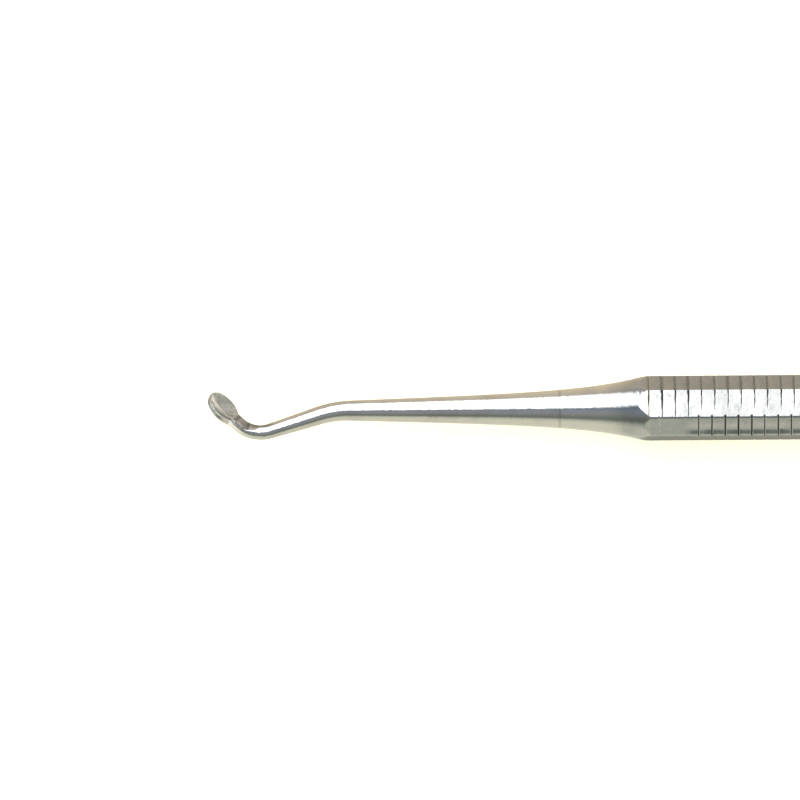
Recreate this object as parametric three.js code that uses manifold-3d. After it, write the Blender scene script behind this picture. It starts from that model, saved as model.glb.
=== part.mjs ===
// A double-ended dental elevator: a slim octagonal steel handle with sawn grip cuts, a flared
// ferrule in each end of it, and a tapered, twice-bent working end with a small oval spoon in each
// ferrule. The two working ends are a left and a right, mirror images of each other.
//
// Millimetres. +X runs along the handle, +Z is up, and the handle lies on its bottom facet:
// the origin is on that facet, under the middle of the handle. The left end is at -X.
import * as THREE from 'three';
import { mergeVertices } from 'three/addons/utils/BufferGeometryUtils.js';
import Module from 'manifold-3d';

const wasm = await Module();
wasm.setup();

// ---- Driving dimensions --------------------------------------------------------------------

const HANDLE_LENGTH = 85;          // of the octagon, end to end
const ACROSS_FLATS = 6;
const WIDE_FACET_RAISE = 0.15;     // two opposite facets lie this much further from the axis

const CUT_PITCH = 1.29;            // grip cuts, sawn all round the octagon
const CUT_WIDTH = 0.3;
const CUT_DEPTH = 0.2;
const CUTS_PER_END = 24;
const FIRST_CUT = 0.33;            // its centre, in from the end of the octagon

const NECK_RADIUS = 0.71;          // the shank's thin end, where it becomes the spoon's neck
const SHANK_TAPER = 0.0303;        // radius gained for each millimetre back from the neck
const TAPER_END = 38;              // where the taper runs out, from the end of the octagon
const FLARE = 1.32;                // extra radius at the octagon, fading over FLARE_FADE
const FLARE_FADE = 5.4;

const FERRULE_MOUTH = 8.2;         // where the ferrule ends and the shank goes on
const SPIGOT_LENGTH = 10;          // of the ferrule, inside the handle tube
const TUBE_BORE_RADIUS = 2.15;
const TANG_LENGTH = 16;            // of the working end, inside the ferrule
const TANG_RADIUS = 1.15;
const TANG_TEETH = 20;
const TANG_KNURL_DEPTH = 0.09;
const TANG_KNURL_LENGTH = 8;
const BRAZE_GAP = 0.05;            // all round a spigot or a tang
const BRAZE_RING_WIDTH = 0.26;
const SEAM_GAP = 0.02;             // at each face of a braze ring

// The centreline of a shank, from the end of the octagon to the spoon's neck.
const SHANK_RUNS = [
  { length: 28.8, turn: 0 },
  { length: 3.1, turn: -17.5 },
  { length: 4.95, turn: 0 },
  { length: 3.45, turn: 63.5 },
  { length: 0.75, turn: 0 },
];

const SPOON_LENGTH = 3.3;
const SPOON_WIDTH = 2.3;
const SPOON_SIDE = 0.4;            // height of the spoon's straight side wall, at mid length
const SPOON_ROUND = 0.5;           // radius between its side wall and its back
const SPOON_BACK_SLOPE = 10;       // the spoon thins towards its tip
const SPOON_WALL = 0.2;            // at the rim
const BOWL_DEPTH = 0.38;
const SPOON_REACH = 2.2;           // from the last bend to the middle of the spoon's face
const SPOON_ROLL = 35;             // the face leans this far about the spoon's long axis
const FACE_RISE = 0.3;             // of the face above the shank's centreline

const ROUND_SIDES = 32;            // of turned surfaces
const SHANK_SIDES = 24;
const FLARE_STEP = 0.8;            // along a ferrule
const SHANK_STEP = 2;              // longest step along a straight run
const BEND_STEP = 5;               // degrees, along a bend

// Worked out from the dimensions above.
const HALF_HANDLE = HANDLE_LENGTH / 2;
const AXIS_HEIGHT = ACROSS_FLATS / 2;
const SEAM_START = FIRST_CUT - CUT_WIDTH / 2;
const SEAM_END = FIRST_CUT + CUT_WIDTH / 2;
const SHOULDER = FERRULE_MOUTH + BRAZE_RING_WIDTH + 2 * SEAM_GAP;

// ---- Materials -----------------------------------------------------------------------------

const steel = (color, roughness) =>
  new THREE.MeshStandardMaterial({ color, roughness, metalness: 1 });
const handleSteel = steel(0xc9cbc8, 0.32);
const ferruleSteel = steel(0xcfd1cd, 0.25);
const workingSteel = steel(0xc2c4c1, 0.28);
const brazeSilver = steel(0xd6d2c2, 0.35);

// ---- Booleans ------------------------------------------------------------------------------

// A closed three.js geometry as a manifold solid. Lathe poles leave triangles with two corners
// in one place, and those are dropped.
function solidOf(geometry) {
  const bare = geometry.clone();
  bare.deleteAttribute('normal');
  bare.deleteAttribute('uv');
  const merged = mergeVertices(bare, 1e-5);
  const corners = merged.index.array;
  const kept = [];
  for (let i = 0; i < corners.length; i += 3) {
    const [a, b, c] = corners.slice(i, i + 3);
    if (a !== b && b !== c && c !== a) kept.push(a, b, c);
  }
  return new wasm.Manifold(new wasm.Mesh({
    numProp: 3,
    vertProperties: Float32Array.from(merged.attributes.position.array),
    triVerts: Uint32Array.from(kept),
  }));
}

function geometryOf(solid) {
  const { vertProperties, triVerts } = solid.getMesh();
  const geometry = new THREE.BufferGeometry();
  geometry.setAttribute('position', new THREE.BufferAttribute(vertProperties, 3));
  geometry.setIndex(new THREE.BufferAttribute(triVerts, 1));
  geometry.computeVertexNormals();
  return geometry;
}

// The mirror image at the other end of the handle, with its triangles turned to face out again.
function mirrored(geometry) {
  const copy = geometry.clone().applyMatrix4(new THREE.Matrix4().makeScale(-1, 1, 1));
  const corners = copy.index.array;
  for (let i = 0; i < corners.length; i += 3) {
    [corners[i], corners[i + 1]] = [corners[i + 1], corners[i]];
  }
  copy.computeVertexNormals();
  return copy;
}

// ---- Shapes about the handle's axis --------------------------------------------------------
// A station is a distance out from the left end of the octagon, towards the spoon.

// Turns a geometry built along +Z, with its section in XY, to run along +X from the given x.
function alongHandle(geometry, x) {
  const toX = new THREE.Matrix4().makeBasis(
    new THREE.Vector3(0, 1, 0),
    new THREE.Vector3(0, 0, 1),
    new THREE.Vector3(1, 0, 0),
  );
  return geometry.applyMatrix4(toX).translate(x, 0, 0);
}

// The octagon's corners, each where two neighbouring facets meet. Facet k faces k times 45
// degrees round from +Y towards +Z, and every fourth one is a wide facet.
function octagonCorners(inset = 0) {
  const step = Math.PI / 4;
  const distance = (k) => ACROSS_FLATS / 2 + (k % 4 === 3 ? WIDE_FACET_RAISE : 0) - inset;
  return Array.from({ length: 8 }, (_, k) => {
    const here = distance(k);
    const along = (distance(k + 1) - here * Math.cos(step)) / Math.sin(step);
    return new THREE.Vector2(here, along).rotateAround(new THREE.Vector2(), k * step);
  });
}

function octagonBar(fromX, toX) {
  const bar = new THREE.ExtrudeGeometry(new THREE.Shape(octagonCorners()), {
    depth: toX - fromX,
    bevelEnabled: false,
  });
  return solidOf(alongHandle(bar, fromX));
}

// A round bar or plug along the handle's axis.
function roundBar(radius, fromX, toX) {
  const bar = new THREE.CylinderGeometry(radius, radius, toX - fromX, ROUND_SIDES);
  return solidOf(alongHandle(bar.rotateX(Math.PI / 2), (fromX + toX) / 2));
}

// What one sawn grip cut takes away: a square plate with an octagonal hole.
function gripCut(centreX) {
  const half = ACROSS_FLATS;
  const plate = new THREE.Shape([
    new THREE.Vector2(-half, -half),
    new THREE.Vector2(half, -half),
    new THREE.Vector2(half, half),
    new THREE.Vector2(-half, half),
  ]);
  plate.holes.push(new THREE.Path(octagonCorners(CUT_DEPTH)));
  const cut = new THREE.ExtrudeGeometry(plate, { depth: CUT_WIDTH, bevelEnabled: false });
  return solidOf(alongHandle(cut, centreX - CUT_WIDTH / 2));
}

// The turned outline of the flare and the shank: a straight taper plus a flare that dies away.
function turnedRadius(station) {
  const taper = NECK_RADIUS + SHANK_TAPER * (TAPER_END - station);
  return Math.max(NECK_RADIUS, taper + FLARE * Math.exp(-station / FLARE_FADE));
}

// The turned envelope between two stations of the left end. Where it is wider than the octagon
// the facets show, so the flare meets each facet in an arc.
function turnedEnvelope(fromStation, toStation) {
  const steps = Math.ceil((toStation - fromStation) / FLARE_STEP);
  const outline = [new THREE.Vector2(0, toStation)];
  for (let i = steps; i >= 0; i -= 1) {
    const station = fromStation + ((toStation - fromStation) * i) / steps;
    outline.push(new THREE.Vector2(turnedRadius(station), station));
  }
  outline.push(new THREE.Vector2(0, fromStation));
  const envelope = new THREE.LatheGeometry(outline.reverse(), ROUND_SIDES);
  return solidOf(alongHandle(envelope.rotateX(-Math.PI / 2), -HALF_HANDLE));
}

const stationX = (station) => -HALF_HANDLE - station;

// ---- The handle tube -----------------------------------------------------------------------

function handleTube() {
  const end = HALF_HANDLE - SEAM_END;
  let tube = octagonBar(-end, end).subtract(roundBar(TUBE_BORE_RADIUS, -end - 1, end + 1));
  for (let i = 1; i < CUTS_PER_END; i += 1) {
    const x = HALF_HANDLE - FIRST_CUT - i * CUT_PITCH;
    tube = tube.subtract(gripCut(-x)).subtract(gripCut(x));
  }
  return geometryOf(tube);
}

// ---- The left end of the instrument --------------------------------------------------------

// A flared ferrule: octagonal where it meets the tube, round at its mouth, with a spigot that
// goes into the tube and a bore for the tang.
function endFerrule() {
  const mouthX = stationX(FERRULE_MOUTH);
  const faceX = stationX(-SEAM_START);
  const spigotEndX = faceX + SPIGOT_LENGTH;
  const flare = octagonBar(mouthX, faceX).intersect(turnedEnvelope(-1, FERRULE_MOUTH));
  const spigot = roundBar(TUBE_BORE_RADIUS - BRAZE_GAP, faceX - 1, spigotEndX);
  const bore = roundBar(TANG_RADIUS + BRAZE_GAP, mouthX - 1, spigotEndX + 1);
  return geometryOf(flare.add(spigot).subtract(bore));
}

// The braze filler that stays in a seam, as a thin ring round the spigot or the tang.
function brazeRing(outerRadius, innerRadius, fromX) {
  const toX = fromX + BRAZE_RING_WIDTH;
  const ring = roundBar(outerRadius, fromX, toX);
  return geometryOf(ring.subtract(roundBar(innerRadius, fromX - 1, toX + 1)));
}

// Where the shank's centreline is at a station, and which way it heads, as an angle from -X
// towards +Y. The last run goes on straight for as long as it is asked to.
function centreline(station) {
  const place = new THREE.Vector2(-HALF_HANDLE, 0);
  let heading = 0;
  let left = station;
  for (const run of SHANK_RUNS) {
    const isLast = run === SHANK_RUNS.at(-1);
    const gone = isLast ? left : Math.min(left, run.length);
    const turned = THREE.MathUtils.degToRad((run.turn * gone) / run.length);
    const middle = heading + turned / 2;
    const chord = turned === 0 ? gone : (gone * Math.sin(turned / 2)) / (turned / 2);
    place.add(new THREE.Vector2(-Math.cos(middle), Math.sin(middle)).multiplyScalar(chord));
    heading += turned;
    left -= gone;
    if (left <= 0) break;
  }
  return { place, heading };
}

// Bends a straight blank, built along +Y, so that its axis follows the shank's centreline.
function bentAlongShank(blank) {
  const vertex = new THREE.Vector3();
  const position = blank.attributes.position;
  for (let i = 0; i < position.count; i += 1) {
    vertex.fromBufferAttribute(position, i);
    const { place, heading } = centreline(vertex.y);
    const x = place.x + vertex.x * Math.sin(heading);
    const y = place.y + vertex.x * Math.cos(heading);
    position.setXYZ(i, x, y, vertex.z);
  }
  return blank;
}

// Stations along the shank: short steps round each bend, longer ones where it is straight.
function shankStations() {
  const stations = [];
  let start = 0;
  for (const { length, turn } of SHANK_RUNS) {
    const steps = Math.max(Math.ceil(length / SHANK_STEP), Math.ceil(Math.abs(turn) / BEND_STEP));
    for (let i = 0; i < steps; i += 1) stations.push(start + (length * i) / steps);
    start += length;
  }
  return [SHOULDER, ...stations.filter((station) => station > SHOULDER + 0.5), start];
}

// The turned blank of a working end: tang, shoulder and tapered shank with a rounded nose.
function shankBlank() {
  const stations = shankStations();
  const nose = stations.at(-1);
  const outline = [
    new THREE.Vector2(0, SHOULDER - TANG_LENGTH),
    new THREE.Vector2(TANG_RADIUS - TANG_KNURL_DEPTH, SHOULDER - TANG_LENGTH),
    new THREE.Vector2(TANG_RADIUS - TANG_KNURL_DEPTH, SHOULDER),
    ...stations.map((station) => new THREE.Vector2(turnedRadius(station), station)),
    new THREE.Vector2(0.75 * NECK_RADIUS, nose + 0.4 * NECK_RADIUS),
    new THREE.Vector2(0, nose + 0.6 * NECK_RADIUS),
  ];
  return solidOf(bentAlongShank(new THREE.LatheGeometry(outline, SHANK_SIDES)));
}

// The straight knurl pressed on the tang, which grips the ferrule's bore.
function tangKnurl() {
  const teeth = new THREE.Shape();
  for (let i = 0; i < 2 * TANG_TEETH; i += 1) {
    const radius = TANG_RADIUS - (i % 2) * TANG_KNURL_DEPTH;
    const angle = (Math.PI * i) / TANG_TEETH;
    const point = [radius * Math.cos(angle), radius * Math.sin(angle)];
    if (i === 0) teeth.moveTo(...point);
    else teeth.lineTo(...point);
  }
  teeth.closePath();
  const knurl = new THREE.ExtrudeGeometry(teeth, {
    depth: TANG_KNURL_LENGTH,
    bevelEnabled: false,
  });
  const middleX = stationX(SHOULDER - TANG_LENGTH / 2);
  return solidOf(alongHandle(knurl, middleX - TANG_KNURL_LENGTH / 2));
}

// The outside of the spoon: an oval with a straight side wall and a rounded back. It is pitched
// up before its top is cut level, which leaves it thick at the neck and thin at the tip.
function spoonShell(frame) {
  const oval = new THREE.Shape().absellipse(
    0, 0, SPOON_LENGTH / 2 - SPOON_ROUND, SPOON_WIDTH / 2 - SPOON_ROUND, 0, 2 * Math.PI,
  );
  const shell = new THREE.ExtrudeGeometry(oval, {
    depth: 2 * SPOON_SIDE,
    curveSegments: 28,
    bevelSize: SPOON_ROUND,
    bevelThickness: SPOON_ROUND,
    bevelSegments: 4,
  });
  shell.translate(0, 0, -SPOON_SIDE).rotateY(THREE.MathUtils.degToRad(-SPOON_BACK_SLOPE));
  const top = new THREE.BoxGeometry(2 * SPOON_LENGTH, 2 * SPOON_WIDTH, SPOON_LENGTH)
    .translate(0, 0, SPOON_LENGTH / 2);
  return solidOf(shell.applyMatrix4(frame)).subtract(solidOf(top.applyMatrix4(frame)));
}

// The bowl ground into the spoon's face, as the ellipsoid that it takes away.
function spoonBowl(frame) {
  const bowl = new THREE.SphereGeometry(1, 28, 12).scale(
    SPOON_LENGTH / 2 - SPOON_WALL, SPOON_WIDTH / 2 - SPOON_WALL, BOWL_DEPTH,
  );
  return solidOf(bowl.applyMatrix4(frame));
}

// The frame of the spoon's face: x to the spoon's tip, z out of the face, which leans over.
function faceFrame() {
  const lastBend = SHANK_RUNS.slice(0, -1).reduce((sum, run) => sum + run.length, 0);
  const { place, heading } = centreline(lastBend + SPOON_REACH);
  return new THREE.Matrix4()
    .makeTranslation(place.x, place.y, 0)
    .multiply(new THREE.Matrix4().makeRotationZ(Math.PI - heading))
    .multiply(new THREE.Matrix4().makeRotationX(THREE.MathUtils.degToRad(SPOON_ROLL)))
    .multiply(new THREE.Matrix4().makeTranslation(0, 0, FACE_RISE));
}

// One forging: the shank, its tang and the spoon on its neck, with the bowl ground out.
function workingEnd() {
  const frame = faceFrame();
  const forging = shankBlank().add(tangKnurl()).add(spoonShell(frame));
  return geometryOf(forging.subtract(spoonBowl(frame)));
}

// ---- The assembly --------------------------------------------------------------------------

const elevator = new THREE.Group();
elevator.position.z = AXIS_HEIGHT;

function addPiece(name, geometry, material) {
  const mesh = new THREE.Mesh(geometry, material);
  mesh.name = name;
  elevator.add(mesh);
}

addPiece('handle_tube', handleTube(), handleSteel);

const tubeRingRadius = ACROSS_FLATS / 2 - CUT_DEPTH;
const tangRingRadius = turnedRadius(FERRULE_MOUTH + BRAZE_RING_WIDTH);
const leftPieces = [
  ['end_ferrule', endFerrule(), ferruleSteel],
  ['working_end', workingEnd(), workingSteel],
  [
    'tube_braze_ring',
    brazeRing(tubeRingRadius, TUBE_BORE_RADIUS, stationX(-SEAM_START) + SEAM_GAP),
    brazeSilver,
  ],
  [
    'tang_braze_ring',
    brazeRing(tangRingRadius, TANG_RADIUS + BRAZE_GAP, stationX(SHOULDER - SEAM_GAP)),
    brazeSilver,
  ],
];

for (const [name, geometry, material] of leftPieces) {
  addPiece(`left_${name}`, geometry, material);
  addPiece(`right_${name}`, mirrored(geometry), material);
}

export default elevator;
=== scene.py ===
# %% [markdown]
# # A double-ended dental elevator, in brazed and polished steel
#
# This instrument is nine pieces of metal and nothing else: a sawn octagonal handle tube, a flared
# ferrule in each end of it, a forged working end in each ferrule, and the thin braze rings that
# fill the seams. So the whole lesson is about two things. The first is how to work out a crisp
# metal surface as one formula over a grid. The second is how to light polished steel, which shows
# hardly anything of its own colour and nearly everything of the room around it.
#
# The CAD model is loaded first, as a fixed frame, and every size that it can give is read from it.

# %% Load the frame
import math
import bpy
import numpy as np
from mathutils import Matrix, Vector


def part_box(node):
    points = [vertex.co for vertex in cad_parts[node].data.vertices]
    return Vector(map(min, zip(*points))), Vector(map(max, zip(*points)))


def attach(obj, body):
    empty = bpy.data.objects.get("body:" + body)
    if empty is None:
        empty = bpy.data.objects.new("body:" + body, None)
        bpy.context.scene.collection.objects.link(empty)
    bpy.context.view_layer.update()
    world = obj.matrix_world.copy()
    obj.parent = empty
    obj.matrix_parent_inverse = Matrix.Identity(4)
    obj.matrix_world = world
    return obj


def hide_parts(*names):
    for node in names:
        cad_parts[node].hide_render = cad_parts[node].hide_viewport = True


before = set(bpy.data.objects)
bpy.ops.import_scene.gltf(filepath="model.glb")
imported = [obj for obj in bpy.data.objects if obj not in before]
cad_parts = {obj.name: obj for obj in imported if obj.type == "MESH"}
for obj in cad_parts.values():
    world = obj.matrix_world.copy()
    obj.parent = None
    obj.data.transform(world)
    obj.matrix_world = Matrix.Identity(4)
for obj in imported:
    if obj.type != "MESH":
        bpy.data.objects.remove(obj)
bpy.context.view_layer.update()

MM = 0.001
tube_low, tube_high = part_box("handle_tube")
ferrule_low, ferrule_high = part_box("left_end_ferrule")
working_low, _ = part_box("left_working_end")
mouth_ring_low, mouth_ring_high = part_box("left_tang_braze_ring")
seam_ring_low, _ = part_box("left_tube_braze_ring")
AXIS_HEIGHT = (tube_low.z + tube_high.z) / 2
# What the CAD model leaves open at each face of a braze ring, and the pieces here close up.
BRAZE_GAP = 0.02 * MM
print("handle tube", [round(v / MM, 2) for v in tube_high - tube_low], "mm")

# %% [markdown]
# ## Camera
#
# The instrument lies on its bottom facet and is seen from nearly overhead, from the -Y side. The
# frame takes in the left working end and the first part of the handle, so it is just under 80 mm
# wide. A long lens from well back keeps the handle's edges parallel, and the camera is rolled by
# half a degree, because nothing lies perfectly straight on a table.

# %% Camera
FIELD_WIDTH = 78.1 * MM
LEFT_MARGIN = 20.3 * MM
VIEW_ELEVATION = math.radians(80)
CAMERA_ROLL = math.radians(0.45)
AIM_ABOVE_AXIS = 1.0 * MM
LENS = 600
SENSOR = 36
CLIP_START = 0.01
CAMERA_DISTANCE = FIELD_WIDTH * LENS / SENSOR

to_camera = Vector((0, -math.cos(VIEW_ELEVATION), math.sin(VIEW_ELEVATION)))
view_up = Vector((0, math.sin(VIEW_ELEVATION), math.cos(VIEW_ELEVATION)))
aim = Vector((working_low.x - LEFT_MARGIN + FIELD_WIDTH / 2, 0, AXIS_HEIGHT))
aim += view_up * AIM_ABOVE_AXIS

camera_data = bpy.data.cameras.new("camera")
camera_data.lens = LENS
camera_data.sensor_width = SENSOR
camera_data.clip_start = CLIP_START
camera = bpy.data.objects.new("camera", camera_data)
bpy.context.scene.collection.objects.link(camera)
look = to_camera.to_track_quat("Z", "Y").to_matrix().to_4x4()
place = Matrix.Translation(aim + to_camera * CAMERA_DISTANCE)
camera.matrix_world = place @ look @ Matrix.Rotation(-CAMERA_ROLL, 4, "Z")
bpy.context.scene.camera = camera
print("camera stands", round(CAMERA_DISTANCE, 3), "m away")

# %% [markdown]
# ## Light
#
# Polished steel is a mirror, so its look is made by what stands round it. A round bar shows the
# whole ring of surroundings as bands along its length. So the world here is written as that ring:
# a softbox over the back half of it, from a low angle to just past overhead, a dim cool room
# beyond it, a pale low fill in front, and below both horizons the warm sheet that the instrument
# lies on. The angle is measured round the instrument's own axis, from the horizon behind it (0)
# over the top (90) to the horizon in front (180). The softbox also ends sideways: it reaches far
# to the left and stops soon to the right, which is why a bar that turns to the right loses its
# highlight. Each quarter of the ring has its own brightness along the axis too.
#
# The stops were chosen by looking at where the bands fall on the shank and the spoon.
# They depend only on direction, so the ring stands still when the camera moves. Camera rays get a
# plain pale backdrop instead, so that no view shows the room.

# %% Node helpers
FLOAT, COLOUR, VECTOR = "NodeSocketFloat", "NodeSocketColor", "NodeSocketVector"


def feed(tree, socket, value):
    """Link another node's output to a socket, or set the socket to a plain value."""
    if isinstance(value, bpy.types.NodeSocket):
        tree.links.new(value, socket)
    else:
        socket.default_value = value


def new_node(tree, kind, **values):
    """A node with its sockets fed by name."""
    node = tree.nodes.new(kind)
    for name, value in values.items():
        feed(tree, node.inputs[name.replace("_", " ")], value)
    return node


def math_node(tree, operation, *values):
    """The output of a Math node for one, two or three numbers or sockets."""
    node = tree.nodes.new("ShaderNodeMath")
    node.operation = operation
    for socket, value in zip(node.inputs, values):
        feed(tree, socket, value)
    return node.outputs[0]


def linear(tree, value, gain, offset):
    """value times gain plus offset, where each may be a socket or a number."""
    return math_node(tree, "MULTIPLY_ADD", value, gain, offset)


def smooth_step(tree, value, low, high, at_low=0.0, at_high=1.0):
    """A Map Range that eases from one number to another between two limits."""
    node = new_node(tree, "ShaderNodeMapRange", Value=value, From_Min=low, From_Max=high,
                    To_Min=at_low, To_Max=at_high)
    node.interpolation_type = "SMOOTHSTEP"
    return node.outputs["Result"]


def mix_colour(tree, factor, a, b, blend="MIX"):
    """The colour output of a Mix node, where each input is a socket or a value."""
    node = tree.nodes.new("ShaderNodeMix")
    node.data_type = "RGBA"
    node.blend_type = blend
    # A Mix node has sockets for every data type, and these are the ones for colours.
    for index, value in ((0, factor), (6, a), (7, b)):
        feed(tree, node.inputs[index], value)
    return node.outputs[2]


def colour_ramp(tree, factor, stops):
    """A Color Ramp from a list of (position, colour) stops."""
    node = tree.nodes.new("ShaderNodeValToRGB")
    tree.links.new(factor, node.inputs["Fac"])
    while len(node.color_ramp.elements) < len(stops):
        node.color_ramp.elements.new(0.5)
    for element, (position, colour) in zip(node.color_ramp.elements, stops):
        element.position = position
        element.color = (*colour, 1)
    return node.outputs["Color"]


def group_tree(name, inputs, outputs):
    """An empty node group with named sockets, its input node and its output node."""
    tree = bpy.data.node_groups.new(name, "ShaderNodeTree")
    for socket_name, kind, default in inputs:
        socket = tree.interface.new_socket(socket_name, in_out="INPUT", socket_type=kind)
        if default is not None:
            socket.default_value = default
    for socket_name, kind in outputs:
        tree.interface.new_socket(socket_name, in_out="OUTPUT", socket_type=kind)
    return tree, tree.nodes.new("NodeGroupInput"), tree.nodes.new("NodeGroupOutput")


def place_group(tree, group, **values):
    """A group node in a tree, with its sockets fed by name."""
    node = tree.nodes.new("ShaderNodeGroup")
    node.node_tree = group
    for name, value in values.items():
        feed(tree, node.inputs[name.replace("_", " ")], value)
    return node


# %% Where a ray points, as an angle over the axis and a lean along it
RING_START = -90
FULL_TURN = 360
# Keeps the slope finite for a ray that runs along the axis.
LEAST_ACROSS = 0.05


def build_ring_place():
    """Degrees is the angle of a direction round the instrument's axis, from -90 to 270, and
    Sideways is how far it leans along the axis, as a slope, with right positive."""
    tree, given, result = group_tree(
        "ring_place", [("Direction", VECTOR, None)], [("Degrees", FLOAT), ("Sideways", FLOAT)]
    )
    axes = new_node(tree, "ShaderNodeSeparateXYZ", Vector=given.outputs["Direction"])
    over = math_node(tree, "ARCTAN2", axes.outputs["Z"], axes.outputs["Y"])
    degrees = math_node(tree, "MULTIPLY", over, 180 / math.pi)
    past_front = math_node(tree, "LESS_THAN", degrees, RING_START)
    tree.links.new(linear(tree, past_front, FULL_TURN, degrees), result.inputs["Degrees"])
    squared = math_node(tree, "POWER", axes.outputs["X"], 2.0)
    across = math_node(tree, "SQRT", math_node(tree, "SUBTRACT", 1.0, squared))
    across = math_node(tree, "MAXIMUM", across, LEAST_ACROSS)
    slope = math_node(tree, "DIVIDE", axes.outputs["X"], across)
    tree.links.new(slope, result.inputs["Sideways"])
    return tree


RING_PLACE = build_ring_place()
print("ring place group:", len(RING_PLACE.nodes), "nodes")

# %% The ring of surroundings
# The softbox's soft edges, in degrees at the bottom and the top and as a slope at the right, and
# how many degrees its bottom and top edges shift for each unit of slope.
SOFTBOX_LOW = (11, 22)
SOFTBOX_TOP = (96, 100)
SOFTBOX_SKEW_LOW = 45
SOFTBOX_SKEW_TOP = 20
SOFTBOX_RIGHT = (0.03, 0.11)
# How bright the softbox is towards its left end, as (sideways, colour).
SOFTBOX_ALONG = [
    (-1.1, (0.30, 0.31, 0.33)),
    (-0.8, (0.32, 0.33, 0.35)),
    (-0.68, (0.60, 0.62, 0.66)),
    (-0.55, (1.80, 1.85, 2.00)),
    (-0.38, (2.50, 2.55, 2.65)),
    (-0.25, (2.80, 2.80, 2.80)),
]
# How bright each quarter of the ring is along the axis, as (sideways, colour).
SHEET_BEHIND_ALONG = [
    (-1.1, (0.45, 0.45, 0.45)),
    (-0.25, (1.0, 1.0, 1.0)),
    (-0.02, (1.0, 1.0, 1.0)),
    (0.16, (0.36, 0.36, 0.38)),
    (0.42, (0.44, 0.45, 0.49)),
    (0.62, (1.05, 1.10, 1.35)),
    (0.80, (1.90, 2.00, 2.50)),
]
ROOM_BEHIND_ALONG = [
    (-0.02, (1.0, 1.0, 1.0)),
    (0.16, (0.42, 0.42, 0.43)),
    (0.40, (0.64, 0.64, 0.65)),
    (0.80, (1.10, 1.10, 1.10)),
]
ROOM_FRONT_ALONG = [
    (-1.0, (2.1, 2.0, 1.9)),
    (-0.6, (1.0, 1.0, 1.0)),
]
SHEET_FRONT_ALONG = [
    (-1.1, (1.60, 1.54, 1.66)),
    (-0.25, (1.0, 1.0, 1.0)),
]
# Where each quarter gives way to the next, as (from degrees, to degrees, the next one's ramp).
QUARTERS = (
    (-1, 1, ROOM_BEHIND_ALONG),
    (85, 97, ROOM_FRONT_ALONG),
    (179, 182, SHEET_FRONT_ALONG),
)
SIDEWAYS_SPAN = 2.4
BACKDROP = (1.0, 1.0, 1.0, 1)
# What stands at each angle where the softbox doesn't, as (degrees, colour). Below 0 and above 180
# it is the warm sheet that the instrument lies on.
SURROUNDINGS = [
    (-90, (0.93, 0.86, 0.68)),
    (-50, (0.90, 0.78, 0.58)),
    (-14, (0.90, 0.78, 0.58)),
    (-6, (0.78, 0.72, 0.61)),
    (-1, (0.78, 0.72, 0.61)),
    (1, (0.86, 0.76, 0.62)),
    (24, (0.60, 0.57, 0.52)),
    (60, (0.52, 0.52, 0.49)),
    (82, (0.40, 0.41, 0.41)),
    (97, (0.24, 0.31, 0.38)),
    (112, (0.38, 0.42, 0.49)),
    (130, (0.36, 0.38, 0.37)),
    (150, (0.22, 0.25, 0.21)),
    (159, (0.36, 0.40, 0.34)),
    (167, (0.74, 0.76, 0.64)),
    (179, (0.86, 0.87, 0.72)),
    (182, (0.95, 0.94, 0.77)),
    (270, (0.95, 0.94, 0.77)),
]


def sideways_ramp(tree, sideways, stops):
    """A Color Ramp over the span of slopes, with 0 in its middle, from (slope, colour) stops."""
    places = [(0.5 + slope / SIDEWAYS_SPAN, colour) for slope, colour in stops]
    return colour_ramp(tree, linear(tree, sideways, 1 / SIDEWAYS_SPAN, 0.5), places)


world = bpy.data.worlds.new("studio")
world.use_nodes = True
bpy.context.scene.world = world
sky = world.node_tree
sky.nodes.clear()
direction = new_node(sky, "ShaderNodeTexCoord").outputs["Generated"]
ring = place_group(sky, RING_PLACE, Direction=direction)
degrees_over, sideways = ring.outputs["Degrees"], ring.outputs["Sideways"]
room = colour_ramp(
    sky,
    linear(sky, degrees_over, 1 / FULL_TURN, -RING_START / FULL_TURN),
    [((degrees - RING_START) / FULL_TURN, colour) for degrees, colour in SURROUNDINGS],
)
from_low = linear(sky, sideways, SOFTBOX_SKEW_LOW, degrees_over)
from_top = linear(sky, sideways, -SOFTBOX_SKEW_TOP, degrees_over)
in_softbox = math_node(
    sky, "MULTIPLY",
    smooth_step(sky, from_low, *SOFTBOX_LOW),
    smooth_step(sky, from_top, *SOFTBOX_TOP, 1.0, 0.0),
)
in_softbox = math_node(
    sky, "MULTIPLY", in_softbox, smooth_step(sky, sideways, *SOFTBOX_RIGHT, 1.0, 0.0)
)
softbox = sideways_ramp(sky, sideways, SOFTBOX_ALONG)
along = sideways_ramp(sky, sideways, SHEET_BEHIND_ALONG)
for low, high, quarter in QUARTERS:
    further = smooth_step(sky, degrees_over, low, high)
    along = mix_colour(sky, further, along, sideways_ramp(sky, sideways, quarter))
room = mix_colour(sky, 1.0, room, along, "MULTIPLY")
lit_room = mix_colour(sky, in_softbox, room, softbox)
is_camera = new_node(sky, "ShaderNodeLightPath").outputs["Is Camera Ray"]
seen = mix_colour(sky, is_camera, lit_room, BACKDROP)
background = new_node(sky, "ShaderNodeBackground", Color=seen, Strength=1.0)
new_node(sky, "ShaderNodeOutputWorld", Surface=background.outputs[0])

bpy.context.scene.view_settings.view_transform = "Standard"
bpy.context.scene.view_settings.look = "None"
print("surroundings in", len(SURROUNDINGS), "stops")

# %% [markdown]
# ## Floor
#
# The floor is a white table that glows a little, as a light table does. That is what keeps the
# shadow under the instrument to a thin warm line. The steel doesn't reflect the table itself: a
# glossy ray goes through it and meets the lower half of the ring above, which is dimmer and
# warmer. Only the strip right beside the handle, where its own shadow lies, still darkens what
# the steel reflects.

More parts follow.
